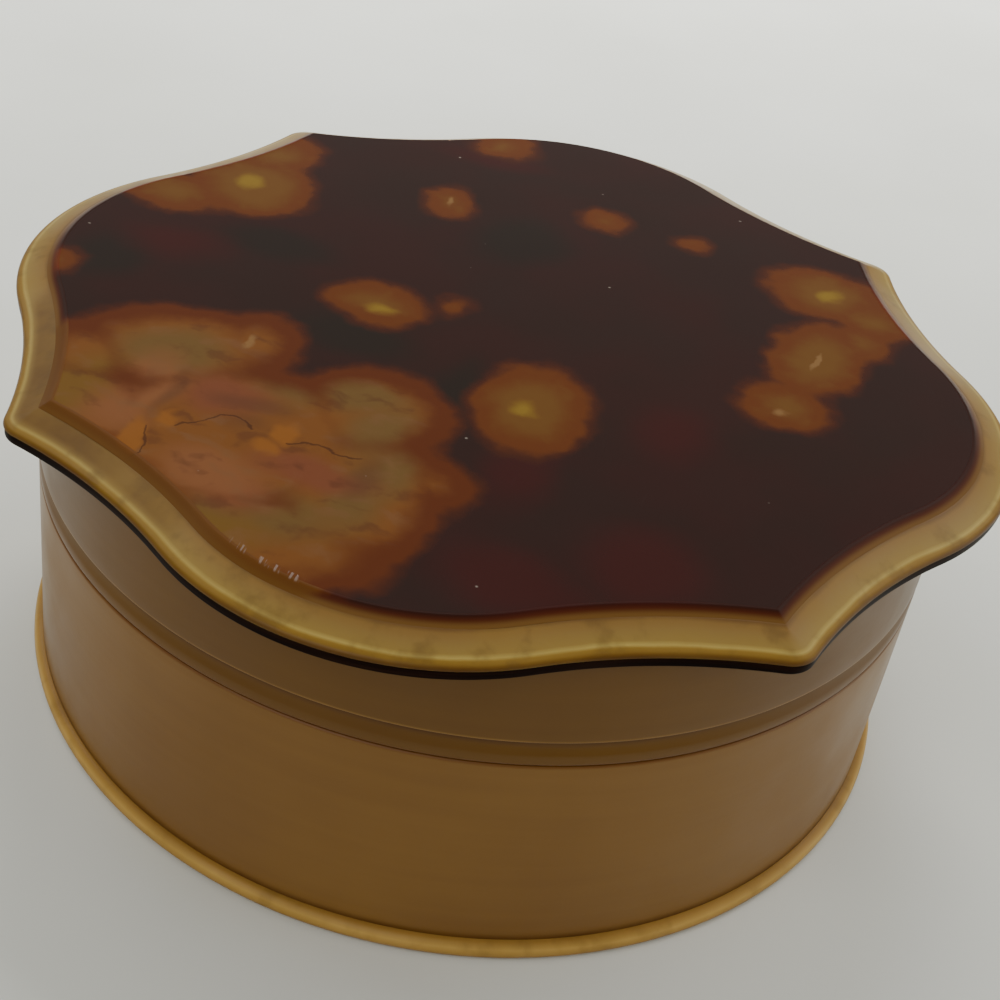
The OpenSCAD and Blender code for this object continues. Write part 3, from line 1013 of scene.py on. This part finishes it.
def sheet(name, rings, finish, unevenness=0.0, edge=None):
    """A closed sheet. rings are (inset, height) round the edge, and edge is their own finish if any."""
    rows = [(inset, [Vector((p.x, p.y, z)) for p in outline(inset)]) for inset, z in rings]
    flats = []
    for inset, row in (rows[0], rows[-1]):
        flats.append([])
        for s in SHRINK:
            ring = [Vector((p.x * s, p.y * s, p.z)) for p in row]
            flats[-1].append((inset + (1 - s) * LOBE_REACH, ring))
    rows = flats[0][::-1] + rows + flats[1]
    work = bmesh.new()
    inward = work.verts.layers.float.new("inward")
    made = []
    for inset, row in rows:
        made.append([work.verts.new(p) for p in row])
        for vert in made[-1]:
            vert[inward] = (inset - rings[-1][0]) / MM
    count = len(made[0])
    on_edge = range(len(SHRINK), len(SHRINK) + len(rings) - 1) if edge else ()
    for level, (lower, upper) in enumerate(zip(made, made[1:])):
        for i in range(count):
            j = (i + 1) % count
            face = work.faces.new((lower[i], lower[j], upper[j], upper[i]))
            face.material_index = 1 if level in on_edge else 0
    for row, turned in ((made[0], True), (made[-1], False)):
        middle = work.verts.new((0, 0, row[0].co.z))
        middle[inward] = LOBE_REACH / MM
        for i in range(count):
            pair = (row[i], row[(i + 1) % count])
            work.faces.new((*(reversed(pair) if turned else pair), middle))
    if unevenness:
        base = rings[0][1]
        for vert in work.verts:
            lift = min(max((vert.co.z - base) / (0.5 * MM), 0), 1)
            vert.co.z += lift * unevenness * noise.noise(vert.co / (9 * MM))
    data = bpy.data.meshes.new(name)
    work.to_mesh(data)
    work.free()
    for one in (finish, edge) if edge else (finish,):
        data.materials.append(one)
    piece = smooth(link(bpy.data.objects.new(name, data)))
    print(f"{name}: {len(data.polygons)} faces")
    return piece


def edge_arc(inset, z, radius, start, end, steps):
    """Rings round a soft edge. 0 degrees faces outwards and 90 faces up."""
    angles = [math.radians(start + (end - start) * i / steps) for i in range(steps + 1)]
    return [(inset + radius * (1 - math.cos(a)), z + radius * math.sin(a)) for a in angles]


# %% [markdown]
# The lid's three layers
# ----------------------
# The backing is a plain thin sheet. The plate has a rounded nose and then a long filed bevel up to
# the veneer. The veneer's own edge is steeper, and the fine arris on its top edge catches the light
# as a hairline.

# %% Cut the layers
NOSE_R = 0.5 * MM
PLATE_SLOPE = math.radians(22)
VENEER_SLOPE = math.radians(30)
ARRIS = 0.07 * MM
BACKING_INSET = 0.1 * MM
BACKING_EDGE = 0.15 * MM

backing_rings = edge_arc(BACKING_INSET, BACKING_Z + BACKING_EDGE, BACKING_EDGE, -90, 0, 4)
backing_rings += edge_arc(BACKING_INSET, PLATE_Z - BACKING_EDGE, BACKING_EDGE, 0, 90, 4)
backing = sheet("backing", backing_rings, BACKING)

nose_turn = 90 - math.degrees(PLATE_SLOPE)
plate_rings = edge_arc(0, PLATE_Z, NOSE_R, 0, nose_turn, 10)
nose_inset, nose_z = plate_rings[-1]
plate_inset = nose_inset + (VENEER_Z - nose_z) / math.tan(PLATE_SLOPE)
BEVEL_SHARES = (0.15, 0.3, 0.45, 0.6, 0.75, 0.9, 0.98, 1.0)
for t in BEVEL_SHARES:
    plate_rings.append((nose_inset + (plate_inset - nose_inset) * t, nose_z + (VENEER_Z - nose_z) * t))
plate = sheet("plate", plate_rings, BEVEL, unevenness=0.05 * MM)

veneer_run = (TOP_Z - VENEER_Z) / math.tan(VENEER_SLOPE)
veneer_rings = [(plate_inset, VENEER_Z)]
for i in range(1, 4):
    t = i / 4
    veneer_rings.append((plate_inset + veneer_run * t, VENEER_Z + (TOP_Z - VENEER_Z) * t))
top_edge = Vector((veneer_run, TOP_Z - VENEER_Z))
before_edge = top_edge - top_edge.normalized() * ARRIS * 2
past_edge = top_edge + Vector((ARRIS * 2, 0))
for i in range(5):
    t = i / 4
    point = before_edge * (1 - t) ** 2 + top_edge * 2 * t * (1 - t) + past_edge * t**2
    veneer_rings.append((plate_inset + point.x, VENEER_Z + point.y))
veneer_rings.append((plate_inset + point.x + ARRIS, TOP_Z))
veneer = sheet("veneer", veneer_rings, VENEER, unevenness=0.03 * MM, edge=VENEER_EDGE)

# %% [markdown]
# Ride and replace
# ----------------
# The fine pieces stand for the plain CAD nodes. They ride on the same bodies, so the lid's layers
# rise together when the lid is lifted, and the crumbs stay in the box with the cake.

# %% Tie the pieces to the frame
PIECES = (
    (foot, "box", "base_plate", "amber_sheet"),
    (wall, "box", "box_wall", "caramel_wall"),
    (collar, "box", "box_collar", "collar_liner"),
    (cake, "box", "rosin_cake", "rosin"),
    (skirt, "lid", "lid_skirt", "caramel_skirt"),
    (backing, "lid", "lid_backing", "dark_backing"),
    (plate, "lid", "lid_plate", "amber_bevel"),
    (veneer, "lid", "lid_veneer", "mottled_veneer"),
)
for piece in (foot, wall, collar, cake, skirt):
    smooth(piece)
for piece, body, node, slot in PIECES:
    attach(piece, body)
    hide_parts(node)
for crumbs in (on_floor, on_cake):
    smooth(crumbs, sharp=60)
    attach(crumbs, "box")

# %% [markdown]
# Floor
# -----
# A plain pale floor, wide enough to run past every view. It isn't part of the object.

# %% Lay the floor
def floor_finish():
    finish = Finish("pale_floor")
    tone = finish.fade(finish.noise(60.0, detail=3.0), 0.3, 0.7)
    colour = finish.mix(tone, paint(232, 233, 226), paint(238, 239, 233))
    finish.bump(finish.noise(1.5, detail=2.0), 0.01)
    return finish.set(colour, finish.vary(tone, 0.5, 0.6))


FLOOR_REACH = 4.0
floor_mesh = bpy.data.meshes.new("floor")
corners = [(x * FLOOR_REACH, y * FLOOR_REACH, 0) for x, y in ((-1, -1), (1, -1), (1, 1), (-1, 1))]
floor_mesh.from_pydata(corners, [], [(0, 1, 2, 3)])
floor_mesh.materials.append(floor_finish())
floor = link(bpy.data.objects.new("floor", floor_mesh))

# %% [markdown]
# Light
# -----
# Soft lamps stand behind on both sides, low on the right and in front, and the room itself is even
# and pale. Large lamps give the wide soft shadow of such a room, and the pale surroundings give the
# plastic its grey sheen at the sides. The lamp over the far floor has its spread held in, because
# the polished lid would mirror it as a haze.

# %% Lamps and room
def softbox(name, place, aim, size, power, spread=180):
    data = bpy.data.lights.new(name, "AREA")
    data.shape = "DISK"
    data.size = size
    data.energy = power
    data.spread = math.radians(spread)
    data.color = (1.0, 1.0, 0.94)
    lamp = link(bpy.data.objects.new(name, data))
    lamp.location = place
    lamp.rotation_euler = (Vector(aim) - Vector(place)).to_track_quat("-Z", "Y").to_euler()
    return lamp


softbox("back_right", (0.36, 0.42, 0.55), (0, 0, 0), 0.5, 1.4)
softbox("low_right", (0.80, 0.14, 0.26), (0.1, 0, 0.02), 0.5, 1.3)
softbox("back_left", (-0.50, 0.28, 0.55), (0, 0, 0), 0.5, 1.4)
softbox("far_floor", (-0.16, 0.74, 0.90), (-0.16, 0.88, 0), 0.6, 20.5, spread=98)
softbox("front_fill", (-0.24, -0.74, 0.80), (0, 0, 0), 0.9, 4.3)
world = bpy.data.worlds.new("room")
world.use_nodes = True
world.node_tree.nodes["Background"].inputs["Color"].default_value = (0.86, 0.88, 0.86, 1)
world.node_tree.nodes["Background"].inputs["Strength"].default_value = 0.29
bpy.context.scene.world = world
print("lamps:", [lamp.name for lamp in bpy.data.lights])

# %% [markdown]
# Camera
# ------
# The camera looks down at the box from close by, as a hand-held one does, and leans a little to the
# side. Its turns are given one after the other: round the upright axis, down, and then the lean.

# %% Camera
CAMERA_PLACE = Vector((28.10, -141.91, 123.65)) * MM
CAMERA_TURN = math.radians(16.65)
CAMERA_DOWN = math.radians(34.77)
CAMERA_LEAN = math.radians(6.05)
camera_data = bpy.data.cameras.new("camera")
camera_data.lens = 59.19
camera_data.sensor_width = 36
camera_data.shift_x = 0.15
camera_data.shift_y = -0.06
camera_data.clip_start = 0.01
camera = link(bpy.data.objects.new("camera", camera_data))
aim = Matrix.Rotation(CAMERA_TURN, 4, "Z") @ Matrix.Rotation(math.pi / 2 - CAMERA_DOWN, 4, "X")
camera.matrix_world = Matrix.Translation(CAMERA_PLACE) @ aim @ Matrix.Rotation(CAMERA_LEAN, 4, "Z")
bpy.context.scene.camera = camera
print(f"camera: {CAMERA_PLACE.length / MM:.0f} mm from the middle of the underside")
